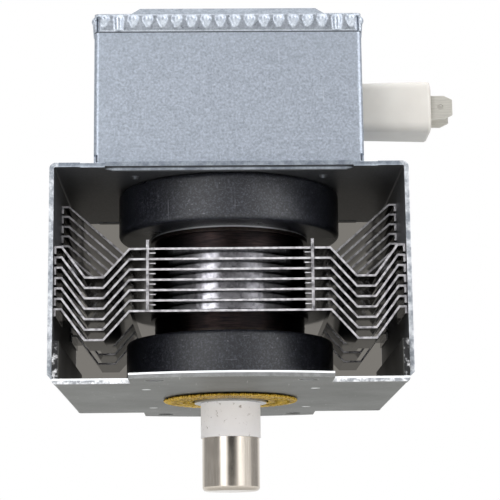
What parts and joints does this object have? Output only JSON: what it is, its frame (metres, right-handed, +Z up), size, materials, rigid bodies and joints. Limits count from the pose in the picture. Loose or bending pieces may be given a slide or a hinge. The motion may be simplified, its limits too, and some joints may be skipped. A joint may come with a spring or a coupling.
{
  "type": "magnetron",
  "caption": "Microwave-oven magnetron: folded steel yoke with ring magnets and bent cooling fins, a capped antenna below and a crimped filter box with blade terminals above.",
  "frame": {"origin": "on the tube axis at the underside of the mounting plate", "axes": "+Z up the tube from the antenna to the filter box, +X towards the blade terminals, Y through the open sides of the yoke"},
  "size_m": [0.1036, 0.1, 0.1213],
  "materials": {
    "zinc_sheet": "galvanised, with a fine spangle",
    "plated_steel": "plated, satin",
    "polished_steel": "polished",
    "ferrite": "sintered, matt",
    "fin_aluminium": "bright sheet",
    "copper": "dull copper",
    "tungsten": "dull",
    "ceramic_white": "matt",
    "brass_mesh": "knitted wire",
    "case_plastic": "moulded, satin",
    "enamel_copper": "enamelled wire"
  },
  "bodies": {
    "root": {"yoke_frame": "zinc_sheet", "mounting_plate": "plated_steel", "upper_magnet": "ferrite", "lower_magnet": "ferrite", "cooling_fin_1": "fin_aluminium", "cooling_fin_2": "fin_aluminium", "cooling_fin_3": "fin_aluminium", "cooling_fin_4": "fin_aluminium", "cooling_fin_5": "fin_aluminium", "cooling_fin_6": "fin_aluminium", "cooling_fin_7": "fin_aluminium", "anode_cylinder": "copper", "anode_vanes": "copper", "strap_rings": "copper", "upper_pole_piece": "plated_steel", "lower_pole_piece": "plated_steel", "upper_seal_can": "plated_steel", "lower_seal_can": "plated_steel", "cathode_filament": "tungsten", "upper_end_hat": "tungsten", "lower_end_hat": "tungsten", "centre_lead": "tungsten", "side_lead": "tungsten", "stem_insulator": "ceramic_white", "stem_terminals": "plated_steel", "output_insulator": "ceramic_white", "antenna_lead": "copper", "exhaust_tube": "copper", "antenna_cap": "polished_steel", "rf_gasket": "brass_mesh", "filter_box": "zinc_sheet", "filter_lid": "zinc_sheet", "capacitor_case": "case_plastic", "capacitor_flange": "plated_steel", "capacitor_core": "case_plastic", "terminal_blades": "polished_steel", "flange_rivets": "plated_steel", "choke_coil_1": "enamel_copper", "choke_coil_2": "enamel_copper", "choke_core_1": "ferrite", "choke_core_2": "ferrite"}
  },
  "joints": []
}
